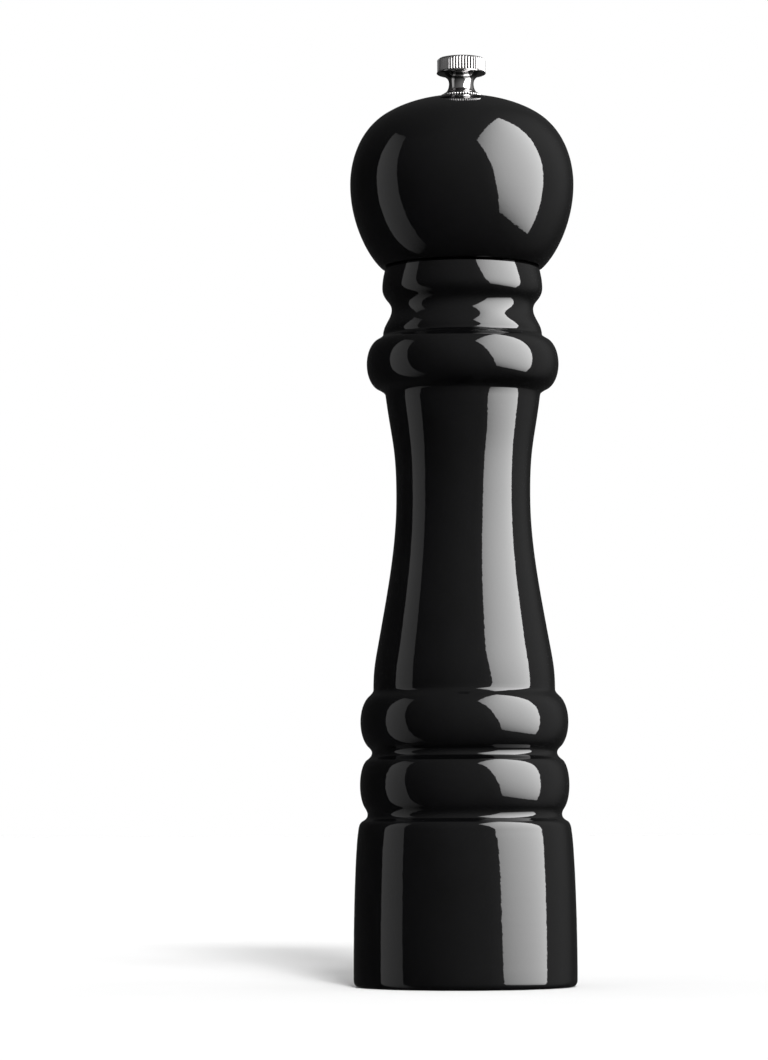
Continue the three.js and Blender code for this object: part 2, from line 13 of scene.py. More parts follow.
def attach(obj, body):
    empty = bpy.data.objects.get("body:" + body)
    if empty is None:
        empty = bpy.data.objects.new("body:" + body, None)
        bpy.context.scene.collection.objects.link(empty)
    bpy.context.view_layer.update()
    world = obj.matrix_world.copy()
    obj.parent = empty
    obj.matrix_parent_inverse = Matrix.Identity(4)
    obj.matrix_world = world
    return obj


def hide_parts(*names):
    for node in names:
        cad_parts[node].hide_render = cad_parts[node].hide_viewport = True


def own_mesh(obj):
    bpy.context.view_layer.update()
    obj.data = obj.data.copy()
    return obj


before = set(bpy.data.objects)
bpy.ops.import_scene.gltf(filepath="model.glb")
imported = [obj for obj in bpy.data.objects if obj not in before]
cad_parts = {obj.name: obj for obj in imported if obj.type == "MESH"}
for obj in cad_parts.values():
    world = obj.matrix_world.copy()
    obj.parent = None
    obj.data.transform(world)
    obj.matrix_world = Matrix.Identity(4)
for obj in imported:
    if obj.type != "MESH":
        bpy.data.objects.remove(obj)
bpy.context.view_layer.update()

MM = 0.001
TAU = 2 * math.pi

# ---- sizes that the visible shapes repeat from the CAD design -------------------------------

FOOT_RADIUS, FOOT_FILLET = 35.8, 2.2
SKIRT_TOP = (34.2, 49.7)
SHOULDER = (32.6, 53.0)
LOWER_BEAD = dict(r=33.6, z=64.4, depth=3.1, half=8.4, start=-62.4, end=71.2)
UPPER_BEAD = dict(r=33.4, z=84.6, depth=4.8, half=9.1, start=-65.0, end=60.8)
WAIST_FOOT = (29.2, 94.9)
WAIST_FLANK = (27.2, 111.8)
WAIST = (21.6, 157.2)
WAIST_TOP = (25.0, 190.2)
COLLAR = dict(r=31.0, z=200.1, depth=4.8, half=8.2, start=-68.3, end=66.3)
NECK_FOOT = (25.7, 209.5)
NECK_COVE = (22.9, 217.8)
NECK_RIM = (25.9, 224.8)
BODY_TOP = (24.9, 231.3)
CHAMBER_RADIUS = 16.0
BURR_BORE_RADIUS, BURR_BORE_TOP = 21.5, 50.3
RECESS_RADIUS, RECESS_TOP = 27.0, 8.0

HEAD_FOOT = (26.1, 231.6)
HEAD_EQUATOR = (36.2, 258.6)
HEAD_SHOULDER = (25.4, 281.0)
HEAD_TOP = 287.2
SPIGOT_RADIUS, SPIGOT_BOTTOM = 15.5, 218.3
SPINDLE_BORE_RADIUS, SPINDLE_BORE_TOP = 5.0, 276.0
STUD_BORE_RADIUS = 2.9
HEAD_EDGE = 0.3

THREAD_PITCH, THREAD_DEPTH = 0.8, 0.4
NUT_KNURLS = 48
WASHER_BEADS = 44
OUTER_TEETH = 20
INNER_TEETH = 16
INNER_TOOTH_LEAD = 1.6    # degrees for each millimetre up
TOOTH_DEPTH = 0.8
BURR_WAIST = 22.0
RIDGE_RADIUS, RIDGE_SLOPE = 13.4, 0.4
# face is the height of the lower side of the plate or bar, and circle the radius of the screws' places.
PLATE_SCREW = dict(count=3, face=216.5, circle=9.8, head=2.3, height=1.3, shank=1.2, length=9)
BAR_SCREW = dict(count=2, face=4.5, circle=23.8, head=3.0, height=1.6, shank=1.5, length=15)
RIVET_PLACES = (-16.9, 16.9)
THRUST_WASHER = dict(inner=4.6, outer=7.2, bottom=43.4, top=44.7)
LOWER_WASHER = dict(inner=2.6, outer=6.2, bottom=11.4, top=12.7)
SPRING_LOW, SPRING_HIGH = 29.1, 43.3

# ---- meshes and materials ----------------------------------------------------------------------

LATHE_SIDES = 192
SHARP_EDGE = 35.0    # degrees between two faces
SLACK = 0.01    # for telling apart sizes that differ by more than this
ON_AXIS = 1e-6    # a smaller radius is a point on the axis
LACQUER_ROUGHNESS = 0.03
# The part of its range in which most of a noise lies. Colours and roughness are spread over it.
LOW, HIGH = 0.3, 0.7

# ---- camera and studio: metres, and degrees ---------------------------------------------------

# The lens and the sensor are in millimetres.
CAMERA = dict(distance=1.3263, height=0.0502, lens=140.1, sensor=36, turn=1.106, tilt=4.154, roll=-0.2)
CAMERA_REACH = 100
FLOOR_REACH = 30.0
# A softbox's lower edge runs along its heading, which is an angle about Z from +X. Its far end is
# raised by pitch, and its top leans away from the mill by lean.
RIGHT_SOFTBOX = dict(centre=(0.64, -0.475, 0.41), heading=84.4, pitch=2.9, lean=-20.1, width=0.957,
                     height=1.6, radiance=8.8, slant=0.66, middle=0.05, falloff=2.3)
LEFT_SOFTBOX = dict(centre=(-1.087, -0.163, 0.241), heading=-92.8, pitch=1.7, lean=11.4, width=0.553,
                    height=2.592, radiance=0.55, slant=-0.4, middle=0.07, falloff=2.9)
# Azimuths here are to the right of the way from the mill to the camera.
KEY_LIGHT = dict(azimuth=10, elevation=31, spread=10, strength=3.0)
SIDE_LIGHT = dict(azimuth=18, elevation=41, spread=12, strength=0.9)
FILL_RADIANCE = 0.6
ROOM_RADIANCE = 0.022
WIDE_GLOW = dict(azimuth=49.5, elevation=37, edge=-0.73, radiance=0.285)
RIGHT_GLOW = dict(azimuth=84, elevation=15, edge=0.415, full=0.9, radiance=0.183)


# ---- outlines --------------------------------------------------------------------------------


def quadratic(start, control, end, steps=8):
    """The points of a quadratic curve after its start."""
    points = []
    for i in range(1, steps + 1):
        t = i / steps
        weights = ((1 - t) ** 2, 2 * t * (1 - t), t * t)
        points.append(blend_points(weights, (start, control, end)))
    return points


def cubic(start, first, second, end, steps=16):
    """The points of a cubic curve after its start."""
    points = []
    for i in range(1, steps + 1):
        t = i / steps
        weights = ((1 - t) ** 3, 3 * t * (1 - t) ** 2, 3 * t * t * (1 - t), t**3)
        points.append(blend_points(weights, (start, first, second, end)))
    return points


def blend_points(weights, points):
    return tuple(sum(w * p[axis] for w, p in zip(weights, points)) for axis in (0, 1))


def bead(r, z, depth, half, start, end, steps=24):
    """The part of an ellipse that stands out of the body as a bead, with its first point.

    r is its largest radius and z the height of that. start and end are angles in degrees.
    """
    points = []
    for i in range(steps + 1):
        angle = math.radians(start + (end - start) * i / steps)
        points.append((r - depth + depth * math.cos(angle), z + half * math.sin(angle)))
    return points


def outer_body_outline():
    """Up the outside, from the foot to the mouth."""
    lower, upper, collar = bead(**LOWER_BEAD), bead(**UPPER_BEAD), bead(**COLLAR)
    # The curves bend towards these points and don't pass through them.
    foot_corner = (FOOT_RADIUS, 0)
    skirt_low, skirt_high = (35.9, 22.9), (35.0, 45.5)
    skirt_edge, shoulder_groove = (34.0, 52.4), (30.2, 54.3)
    bead_groove, waist_groove = (28.5, 74.4), (29.1, 94.2)
    foot_low, foot_high = (29.2, 101.8), (28.48, 104.7)
    flank_low, flank_high = (WAIST_FLANK[0] - 3.02, WAIST_FLANK[1] + 16.8), (WAIST[0], 142.2)
    flare_low, flare_high = (WAIST[0], 173.7), (23.08, 175.2)
    collar_groove, neck_groove = (25.1, 191.1), (25.7, 208.9)
    cove_foot_low, cove_foot_high = (25.7, 212.8), (NECK_COVE[0], 214.9)
    cove_top_low, cove_top_high = (NECK_COVE[0], 220.7), (25.9, 221.2)
    rim_low, rim_high = (25.9, 227.4), (25.2, 230.1)

    points = [(FOOT_RADIUS - FOOT_FILLET, 0.0)]
    points += quadratic(points[-1], foot_corner, (FOOT_RADIUS, FOOT_FILLET))
    points += cubic(points[-1], skirt_low, skirt_high, SKIRT_TOP)
    points += quadratic(points[-1], skirt_edge, SHOULDER, steps=12)
    points += quadratic(points[-1], shoulder_groove, lower[0], steps=12)
    points += lower[1:]
    points += quadratic(points[-1], bead_groove, upper[0], steps=12)
    points += upper[1:]
    points += quadratic(points[-1], waist_groove, WAIST_FOOT, steps=4)
    points += cubic(points[-1], foot_low, foot_high, WAIST_FLANK)
    points += cubic(points[-1], flank_low, flank_high, WAIST, steps=20)
    points += cubic(points[-1], flare_low, flare_high, WAIST_TOP, steps=20)
    points += quadratic(points[-1], collar_groove, collar[0], steps=4)
    points += collar[1:]
    points += quadratic(points[-1], neck_groove, NECK_FOOT, steps=4)
    points += cubic(points[-1], cove_foot_low, cove_foot_high, NECK_COVE, steps=12)
    points += cubic(points[-1], cove_top_low, cove_top_high, NECK_RIM, steps=12)
    points += cubic(points[-1], rim_low, rim_high, BODY_TOP, steps=10)
    return points


def inner_body_outline():
    """Down the inside, from the chamber's mouth to the recess in the foot."""
    mouth, edge = 0.8, 0.5
    return [
        (CHAMBER_RADIUS + mouth, BODY_TOP[1]),
        (CHAMBER_RADIUS, BODY_TOP[1] - mouth),
        (CHAMBER_RADIUS, BURR_BORE_TOP + edge),
        (CHAMBER_RADIUS + edge, BURR_BORE_TOP),
        (BURR_BORE_RADIUS, BURR_BORE_TOP),
        (BURR_BORE_RADIUS, RECESS_TOP),
        (RECESS_RADIUS, RECESS_TOP),
        (RECESS_RADIUS, edge),
        (RECESS_RADIUS + edge, 0.0),
    ]


def outer_head_outline():
    """Up the outside, from the head's foot to the edge of the stud's bore."""
    foot_r, foot_z = HEAD_FOOT
    shoulder_r, shoulder_z = HEAD_SHOULDER
    rise, foot_pull = math.radians(41.2), 5.7
    fall, pull_before, pull_after = math.radians(33), 9.3, 6.8
    equator_low, equator_high = (HEAD_EQUATOR[0], 246.2), (HEAD_EQUATOR[0], 266.6)
    crown, bore_edge = (11.2, HEAD_TOP), (STUD_BORE_RADIUS + HEAD_EDGE, HEAD_TOP)
    after_foot = (foot_r + foot_pull * math.cos(rise), foot_z + foot_pull * math.sin(rise))
    before = (shoulder_r + pull_before * math.cos(fall), shoulder_z - pull_before * math.sin(fall))
    after = (shoulder_r - pull_after * math.cos(fall), shoulder_z + pull_after * math.sin(fall))
    points = [HEAD_FOOT]
    points += cubic(points[-1], after_foot, equator_low, HEAD_EQUATOR, steps=40)
    points += cubic(points[-1], equator_high, before, HEAD_SHOULDER, steps=40)
    points += cubic(points[-1], after, crown, bore_edge, steps=32)
    return points


# ---- meshes ------------------------------------------------------------------------------------


def mesh_object(name, vertices, faces, sharp=SHARP_EDGE):
    """A mesh piece, from points in millimetres, shaded smooth except at sharp edges."""
    mesh = bpy.data.meshes.new(name)
    mesh.from_pydata((np.asarray(vertices, float) * MM).tolist(), [], faces)
    mesh.polygons.foreach_set("use_smooth", [True] * len(mesh.polygons))
    mesh.set_sharp_from_angle(angle=math.radians(sharp))
    mesh.validate()
    obj = bpy.data.objects.new(name, mesh)
    bpy.context.scene.collection.objects.link(obj)
    return obj


def revolve(name, outline, sides, shape=None, closed=False, sharp=SHARP_EDGE):
    """Turns an outline about Z.

    The outline runs up the outside. It closes on itself, or starts and ends on the axis.
    shape(r, z, angle) may move a row's points: it takes and gives numpy arrays.
    """
    angles = np.arange(sides) * TAU / sides
    vertices, rows = [], []
    for r, z in outline:
        if r < ON_AXIS:
            rows.append([len(vertices)] * sides)
            vertices.append((0.0, 0.0, z))
            continue
        radii, heights, turned = np.full(sides, r), np.full(sides, z), angles.copy()
        if shape is not None:
            radii, heights, turned = shape(radii, heights, turned)
        rows.append(list(range(len(vertices), len(vertices) + sides)))
        vertices.extend(zip(radii * np.cos(turned), radii * np.sin(turned), heights))
    if closed:
        rows.append(rows[0])
    faces = []
    for lower, upper in zip(rows, rows[1:]):
        for i in range(sides):
            j = (i + 1) % sides
            corners = [lower[i], lower[j], upper[j], upper[i]]
            face = list(dict.fromkeys(corners))
            if len(face) > 2:
                faces.append(face)
    return mesh_object(name, vertices, faces, sharp)


def at_centre(obj, x, y):
    """Moves a piece's own points, so that its object stays at the origin."""
    obj.data.transform(Matrix.Translation((x * MM, y * MM, 0)))
    return obj


def circle(radius, x=0.0, y=0.0, sides=96):
    """The corners of a many-sided circle, counter-clockwise."""
    return [(x + radius * math.cos(TAU * i / sides), y + radius * math.sin(TAU * i / sides))
            for i in range(sides)]


def rounded_square(half, corner, steps=6):
    """A square's outline with round corners, counter-clockwise."""
    points = []
    for quarter in range(4):
        start = quarter * math.pi / 2
        turn = start + math.pi / 4
        reach = (half - corner) * math.sqrt(2)
        centre = (reach * math.cos(turn), reach * math.sin(turn))
        for i in range(steps + 1):
            angle = start + i * math.pi / 2 / steps
            points.append((centre[0] + corner * math.cos(angle), centre[1] + corner * math.sin(angle)))
    return points


def plate(name, outline, holes, bottom, top, edge):
    """A flat plate with holes. All its edges are rounded by edge, inside its outline."""
    sharp = 40
    curve = bpy.data.curves.new(name, "CURVE")
    curve.dimensions = "2D"
    curve.fill_mode = "BOTH"
    curve.extrude = ((top - bottom) / 2 - edge) * MM
    curve.bevel_depth = edge * MM
    curve.bevel_resolution = 2
    curve.offset = -edge * MM
    for points in [outline, *holes]:
        spline = curve.splines.new("POLY")
        spline.points.add(len(points) - 1)
        spline.use_cyclic_u = True
        for point, (x, y) in zip(spline.points, points):
            point.co = (x * MM, y * MM, 0, 1)
    source = bpy.data.objects.new(name + "_outline", curve)
    bpy.context.scene.collection.objects.link(source)
    bpy.context.view_layer.update()
    depsgraph = bpy.context.evaluated_depsgraph_get()
    raised = bpy.data.meshes.new_from_object(source.evaluated_get(depsgraph))
    bpy.data.objects.remove(source)
    bpy.data.curves.remove(curve)
    raised.transform(Matrix.Translation((0, 0, (bottom + top) / 2 * MM)))
    raised.name = name
    obj = bpy.data.objects.new(name, raised)
    bpy.context.scene.collection.objects.link(obj)
    weld(obj)
    obj.data.polygons.foreach_set("use_smooth", [True] * len(obj.data.polygons))
    obj.data.set_sharp_from_angle(angle=math.radians(sharp))
    return obj


def weld(obj, distance=0.002):
    """Joins points that lie within that distance of each other."""
    modifier = obj.modifiers.new("weld", "WELD")
    modifier.merge_threshold = distance * MM
    apply_modifiers(obj)


def apply_modifiers(obj):
    bpy.context.view_layer.update()
    depsgraph = bpy.context.evaluated_depsgraph_get()
    made = bpy.data.meshes.new_from_object(obj.evaluated_get(depsgraph))
    old = obj.data
    obj.modifiers.clear()
    obj.data = made
    bpy.data.meshes.remove(old)


def carve(obj, cutter):
    """Cuts the cutter's shape out of a piece, and deletes the cutter."""
    modifier = obj.modifiers.new("carve", "BOOLEAN")
    modifier.object = cutter
    modifier.operation = "DIFFERENCE"
    modifier.solver = "EXACT"
    apply_modifiers(obj)
    bpy.data.objects.remove(cutter)
    obj.data.set_sharp_from_angle(angle=math.radians(SHARP_EDGE))
    return obj


def slot_cutter(bottom, top, width, length):
    """A block about the axis, its length along Y."""
    half_w, half_l = width / 2, length / 2
    corners = [(sx * half_w, sy * half_l) for sx, sy in ((-1, -1), (1, -1), (1, 1), (-1, 1))]
    vertices = [(*c, z) for z in (bottom, top) for c in corners]
    faces = [(3, 2, 1, 0), (4, 5, 6, 7), (0, 1, 5, 4), (1, 2, 6, 5), (2, 3, 7, 6), (3, 0, 4, 7)]
    return mesh_object("slot_cutter", vertices, faces)


def square_radius(angle, half, corner):
    """How far a rounded square's edge is from its centre, in each direction."""
    halvings, least = 24, 0.9
    low, high = np.full_like(angle, half * least), np.full_like(angle, half * math.sqrt(2))
    for _ in range(halvings):
        middle = (low + high) / 2
        dx = np.maximum(np.abs(middle * np.cos(angle)) - (half - corner), 0)
        dy = np.maximum(np.abs(middle * np.sin(angle)) - (half - corner), 0)
        inside = np.hypot(dx, dy) < corner
        low, high = np.where(inside, middle, low), np.where(inside, high, middle)
    return (low + high) / 2


def thread_wave(z, angle, pitch):
    """0 on a thread's flat crest, rising evenly to 0.85 at its root, for a right-hand thread."""
    steepness, crest = 2.5, 0.4
    turn = (z / pitch - angle / TAU) % 1.0
    return np.maximum(np.abs(turn - 0.5) * steepness - crest, 0)


# ---- materials -----------------------------------------------------------------------------------


class Finish:
    """A procedural material. Its texture places are metres in the frame."""

    def __init__(self, name, **sockets):
        self.material = bpy.data.materials.new(name)
        self.material.use_nodes = True
        self.nodes = self.material.node_tree.nodes
        self.links = self.material.node_tree.links
        self.shader = self.nodes["Principled BSDF"]
        self.place = self.nodes.new("ShaderNodeTexCoord").outputs["Object"]
        for socket, value in sockets.items():
            self.shader.inputs[socket.replace("_", " ")].default_value = value

    def noise(self, period, detail=3.0, stretch=(1, 1, 1), roughness=0.5):
        """Noise of that period in millimetres, drawn out by stretch along each axis."""
        mapping = self.nodes.new("ShaderNodeMapping")
        mapping.inputs["Scale"].default_value = [1 / (period * MM * s) for s in stretch]
        self.links.new(self.place, mapping.inputs["Vector"])
        noise = self.nodes.new("ShaderNodeTexNoise")
        noise.inputs["Scale"].default_value = 1.0
        noise.inputs["Detail"].default_value = detail
        noise.inputs["Roughness"].default_value = roughness
        self.links.new(mapping.outputs["Vector"], noise.inputs["Vector"])
        return noise.outputs["Fac"]

    def colour(self, value, *stops):
        """Base colour from a value: each stop is a position and a colour."""
        ramp = self.nodes.new("ShaderNodeValToRGB")
        elements = ramp.color_ramp.elements
        while len(elements) < len(stops):
            elements.new(0.5)    # the loop below moves it to its place
        for element, (position, rgb) in zip(elements, stops):
            element.position = position
            element.color = (*rgb, 1)
        self.links.new(value, ramp.inputs["Fac"])
        self.links.new(ramp.outputs["Color"], self.shader.inputs["Base Color"])

    def roughness(self, value, low, high):
        """Roughness that goes from low to high as a value goes from LOW to HIGH."""
        span = self.nodes.new("ShaderNodeMapRange")
        span.inputs["From Min"].default_value = LOW
        span.inputs["From Max"].default_value = HIGH
        span.inputs["To Min"].default_value = low
        span.inputs["To Max"].default_value = high
        self.links.new(value, span.inputs["Value"])
        self.links.new(span.outputs["Result"], self.shader.inputs["Roughness"])

    def bump(self, *reliefs):
        """Relief from pairs of a value and a height in millimetres."""
        normal = None
        for value, height in reliefs:
            bump = self.nodes.new("ShaderNodeBump")
            bump.inputs["Distance"].default_value = height * MM
            self.links.new(value, bump.inputs["Height"])
            if normal is not None:
                self.links.new(normal, bump.inputs["Normal"])
            normal = bump.outputs["Normal"]
        for socket in ("Normal", "Coat Normal"):
            self.links.new(normal, self.shader.inputs[socket])


def black_lacquer():
    finish = Finish("black_lacquer", Specular_IOR_Level=0.0, Coat_Weight=1.0,
                    Coat_Roughness=LACQUER_ROUGHNESS, Coat_IOR=1.5)
    cloud = finish.noise(14, detail=4)
    finish.colour(cloud, (LOW, (0.0009, 0.0009, 0.0010)), (HIGH, (0.0016, 0.0016, 0.0018)))
    finish.roughness(finish.noise(3, detail=3), low=0.3, high=0.42)
    orange_peel = finish.noise(1.5, detail=2)
    turning = finish.noise(6, detail=2, stretch=(60, 60, 1))
    finish.bump((turning, 0.02), (orange_peel, 0.010))
    return finish.material


def raw_beech():
    finish = Finish("raw_beech", Specular_IOR_Level=0.3)
    fibres = finish.noise(0.9, detail=5, stretch=(1, 1, 18), roughness=0.6)
    finish.colour(fibres, (LOW, (0.34, 0.19, 0.09)), (0.5, (0.52, 0.33, 0.18)), (HIGH, (0.62, 0.42, 0.25)))
    finish.roughness(fibres, low=0.75, high=0.55)
    finish.bump((finish.noise(4, detail=2, stretch=(1, 1, 6)), 0.10), (fibres, 0.05))
    return finish.material


def polished_chrome():
    finish = Finish("polished_chrome", Metallic=1.0)
    haze = finish.noise(2.5, detail=4)
    finish.colour(haze, (LOW, (0.47, 0.46, 0.46)), (HIGH, (0.60, 0.59, 0.59)))
    finish.roughness(finish.noise(0.7, detail=3), low=0.03, high=0.08)
    ripple = finish.noise(1.2, detail=3)
    scratches = finish.noise(0.12, detail=2, stretch=(30, 30, 1))
    finish.bump((ripple, 0.006), (scratches, 0.0008))
    return finish.material


def drawn_steel():
    finish = Finish("drawn_steel", Metallic=1.0)
    lines = finish.noise(0.25, detail=4, stretch=(1, 1, 80))
    finish.colour(finish.noise(8, detail=4), (LOW, (0.48, 0.49, 0.5)), (HIGH, (0.6, 0.6, 0.61)))
    finish.roughness(lines, low=0.2, high=0.36)
    finish.bump((lines, 0.002))
    return finish.material


def pressed_steel():
    finish = Finish("pressed_steel", Metallic=1.0)
    cloud = finish.noise(5, detail=4)
    finish.colour(cloud, (LOW, (0.44, 0.45, 0.46)), (HIGH, (0.55, 0.55, 0.56)))
    finish.roughness(finish.noise(1.1, detail=4), low=0.26, high=0.42)
    finish.bump((finish.noise(0.5, detail=3), 0.004))
    return finish.material


def hardened_steel():
    finish = Finish("hardened_steel", Metallic=1.0)
    cloud = finish.noise(3.5, detail=4)
    finish.colour(cloud, (LOW, (0.2, 0.2, 0.21)), (0.5, (0.28, 0.27, 0.27)), (HIGH, (0.36, 0.36, 0.37)))
    finish.roughness(finish.noise(0.8, detail=4), low=0.34, high=0.52)
    finish.bump((finish.noise(0.35, detail=4), 0.008))
    return finish.material


def zinc_plate():
    finish = Finish("zinc_plate", Metallic=1.0)
    cloud = finish.noise(2.2, detail=3)
    finish.colour(cloud, (LOW, (0.58, 0.6, 0.64)), (0.55, (0.66, 0.67, 0.68)), (0.75, (0.68, 0.66, 0.58)))
    finish.roughness(finish.noise(0.6, detail=4), low=0.22, high=0.4)
    finish.bump((finish.noise(0.3, detail=3), 0.003))
    return finish.material


def spring_wire():
    finish = Finish("spring_wire", Metallic=1.0)
    finish.colour(finish.noise(2, detail=3), (LOW, (0.4, 0.4, 0.42)), (HIGH, (0.52, 0.52, 0.53)))
    finish.roughness(finish.noise(0.3, detail=3), low=0.25, high=0.4)
    finish.bump((finish.noise(0.2, detail=3), 0.002))
    return finish.material


def pale_floor():
    finish = Finish("pale_floor", Roughness=0.9, Specular_IOR_Level=0.0)
    finish.colour(finish.noise(40, detail=3), (LOW, (0.80, 0.80, 0.80)), (HIGH, (0.81, 0.81, 0.81)))
    return finish.material


# ---- pieces --------------------------------------------------------------------------------------


def settle(piece, body, nodes, slot, *materials):
    """Gives a piece its materials, hangs it on the body it rides on, and hides the CAD parts it stands
    for.
    """
    for material in materials:
        piece.data.materials.append(material)
    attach(piece, body)
    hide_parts(*nodes)
    return piece


def second_material_in(piece, sides, rows):
    """The faces of a revolved piece take its second material in that slice of its outline's rows."""
    indices = np.zeros(len(piece.data.polygons), dtype=np.int32)
    indices[rows.start * sides:rows.stop * sides] = 1
    piece.data.polygons.foreach_set("material_index", indices.tolist())


def turned_body():
    outside, inside = outer_body_outline(), inner_body_outline()
    piece = revolve("turned_body", outside + inside, LATHE_SIDES, closed=True)
    # The lacquer runs over the edges of the mouth and of the foot recess. The rest inside is bare.
    wood_rows = slice(len(outside) + 1, len(outside) + len(inside) - 2)
    second_material_in(piece, LATHE_SIDES, wood_rows)
    return piece


def domed_head():
    spigot_chamfer, bore_shoulder = 0.8, 1
    outside = outer_head_outline()
    inside = [
        (STUD_BORE_RADIUS, HEAD_TOP - HEAD_EDGE),
        (STUD_BORE_RADIUS, SPINDLE_BORE_TOP),
        (SPINDLE_BORE_RADIUS, SPINDLE_BORE_TOP - bore_shoulder),
        (SPINDLE_BORE_RADIUS, SPIGOT_BOTTOM + HEAD_EDGE),
        (SPINDLE_BORE_RADIUS + HEAD_EDGE, SPIGOT_BOTTOM),
        (SPIGOT_RADIUS - spigot_chamfer, SPIGOT_BOTTOM),
        (SPIGOT_RADIUS, SPIGOT_BOTTOM + spigot_chamfer),
        (SPIGOT_RADIUS, HEAD_FOOT[1]),
    ]
    piece = revolve("domed_head", outside + inside, LATHE_SIDES, closed=True)
    wood_rows = slice(len(outside), len(outside) + len(inside) - 1)
    second_material_in(piece, LATHE_SIDES, wood_rows)
    return piece


def knurled_nut():
    """Concave stem, thin lip and a straight-knurled band, round a blind bore for the stud."""
    sides_per_knurl = 14
    bore, bore_top, bore_mouth = 2.6, 298.3, 289.3
    foot, foot_inside, foot_outside = 288.85, 3.0, 4.65
    foot_edge, stem_bend, stem_waist = (4.85, 289.0), (4.15, 289.8), (4.0, 291.4)
    flare_low, flare_high, lip_under = (3.9, 293.2), (4.9, 294.3), (7.35, 294.75)
    lip_low_bend, lip_edge = (7.9, 294.87), (8.0, 295.15)
    lip_high_bend, lip_top = (7.98, 295.4), (7.7, 295.48)
    groove_radius, groove_bottom = 7.3, 295.49
    band_radius, band_bottom, band_top, band_chamfer = 7.8, 295.5, 299.3, 0.15
    band_edge, crown_low, crown_high = (7.66, 299.5), (7.3, 299.8), (7.1, 299.95)
    rim, rim_outside, rim_inside = 300.0, 6.9, 6.3
    dish, dish_radius, dish_middle = 299.93, 6.1, 0.9
    depth, crest, flank_width, straight, rounded = 0.38, 0.1, 0.4, 0.55, 0.45

    def knurl(radii, heights, angles):
        if radii[0] > band_radius - SLACK and heights[0] > band_bottom - SLACK:
            across = np.abs((angles * NUT_KNURLS / TAU) % 1.0 - 0.5)
            flank = np.clip((across - crest) / flank_width, 0, 1)
            radii = radii - depth * flank * (straight + rounded * flank)
        return radii, heights, angles

    outline = [(0, bore_top), (bore, bore_top), (bore, bore_mouth)]
    outline += [(foot_inside, foot), (foot_outside, foot), foot_edge]
    outline += quadratic(outline[-1], stem_bend, stem_waist, steps=8)
    outline += cubic(outline[-1], flare_low, flare_high, lip_under, steps=16)
    outline += quadratic(outline[-1], lip_low_bend, lip_edge, steps=5)
    outline += quadratic(outline[-1], lip_high_bend, lip_top, steps=4)
    outline += [(groove_radius, groove_bottom), (groove_radius, band_bottom)]
    outline += [(band_radius, band_bottom + band_chamfer)]
    outline += [(band_radius, z) for z in np.linspace(band_bottom + band_chamfer, band_top, 7)[1:]]
    outline += [band_edge, crown_low, crown_high, (rim_outside, rim), (rim_inside, rim)]
    outline += [(dish_radius, dish), (dish_middle, dish), (0, dish)]
    return revolve("knurled_nut", outline, NUT_KNURLS * sides_per_knurl, knurl, sharp=30)


def beaded_washer():
    """A domed washer with a row of small beads round its rim."""
    sides_per_bead = 12
    rim_radius, rim_height, reach, rise = 6.1, 287.65, 0.68, 0.36
    bead_roundness, bead_width = 0.6, 0.94
    # Shares of the rim's reach and of its thickness: what it has all round, and what a bead adds.
    reach_all_round, reach_of_bead = 0.35, 0.65
    thick_all_round, thick_of_bead = 0.6, 0.4
    bore, bore_bottom, bore_top = 2.75, 287.3, 288.6
    bottom, bottom_inside = 287.25, 2.9
    top, top_inside, top_outside = 288.8, 2.95, 4.8
    dome_foot, dome_bend, dome_top = (6.08, 288.04), (5.75, 288.55), (4.95, 288.77)

    def beads(radii, heights, angles):
        across = 2 * ((angles * WASHER_BEADS / TAU) % 1.0) - 1
        swell = np.sqrt(1 - (bead_width * across) ** 2)
        out = np.clip((radii - rim_radius) / reach, 0, 1)
        if radii[0] > rim_radius + SLACK:
            radii = rim_radius + reach * out * (reach_all_round + reach_of_bead * swell)
            thickness = thick_all_round + thick_of_bead * swell
            heights = rim_height + (heights - rim_height) * thickness
        return radii, heights, angles

    outline = [(bore, bore_top), (bore, bore_bottom), (bottom_inside, bottom), (rim_radius, bottom)]
    for degrees in range(-80, 81, 20):
        angle = math.radians(degrees)
        out = rim_radius + reach * math.cos(angle) ** bead_roundness
        outline.append((out, rim_height + rise * math.sin(angle)))
    outline.append(dome_foot)
    outline += quadratic(outline[-1], dome_bend, dome_top, steps=8)
    outline += [(top_outside, top), (top_inside, top)]
    return revolve("beaded_washer", outline, WASHER_BEADS * sides_per_bead, beads, closed=True, sharp=50)


def square_spindle():
    """A square bar with turned shoulders and a threaded stud at each end."""
    half, corner = 3.0, 0.6
    bottom, top = 13.0, 273.5
    shoulder_inside, shoulder_outside, shoulder = 3.1, 4.3, 1.0
    stud, stud_bottom, stud_top, chamfer = 2.5, 3.0, 296.5, 0.45
    runout, margin, ledge = 0.6, 0.5, 0.01
    rows_per_turn = 6
    step = THREAD_PITCH / rows_per_turn

    def shape(radii, heights, angles):
        z = heights[0]
        if bottom <= z <= top and radii[0] > stud + SLACK:
            return np.minimum(radii, square_radius(angles, half, corner)), heights, angles
        if z < bottom - runout or z > top + runout:
            fade = min((z - stud_bottom) / runout, (stud_top - z) / runout, 1.0)
            wave = thread_wave(heights, angles, THREAD_PITCH)
            radii = radii - max(fade, 0) * THREAD_DEPTH * wave
        return radii, heights, angles

    lower = [(stud, z) for z in np.arange(stud_bottom + margin, bottom - margin, step)]
    upper = [(stud, z) for z in np.arange(top + margin, stud_top - margin, step)]
    outline = [(0, stud_bottom), (stud - chamfer, stud_bottom), *lower, (stud, bottom)]
    outline += [(shoulder_inside, bottom + ledge), (shoulder_outside, bottom + shoulder)]
    outline += [(shoulder_outside, top - shoulder), (shoulder_inside, top - ledge)]
    outline += [(stud, top), *upper, (stud - chamfer, stud_top), (0, stud_top)]
    return revolve("square_spindle", outline, sides=96, shape=shape, sharp=40)


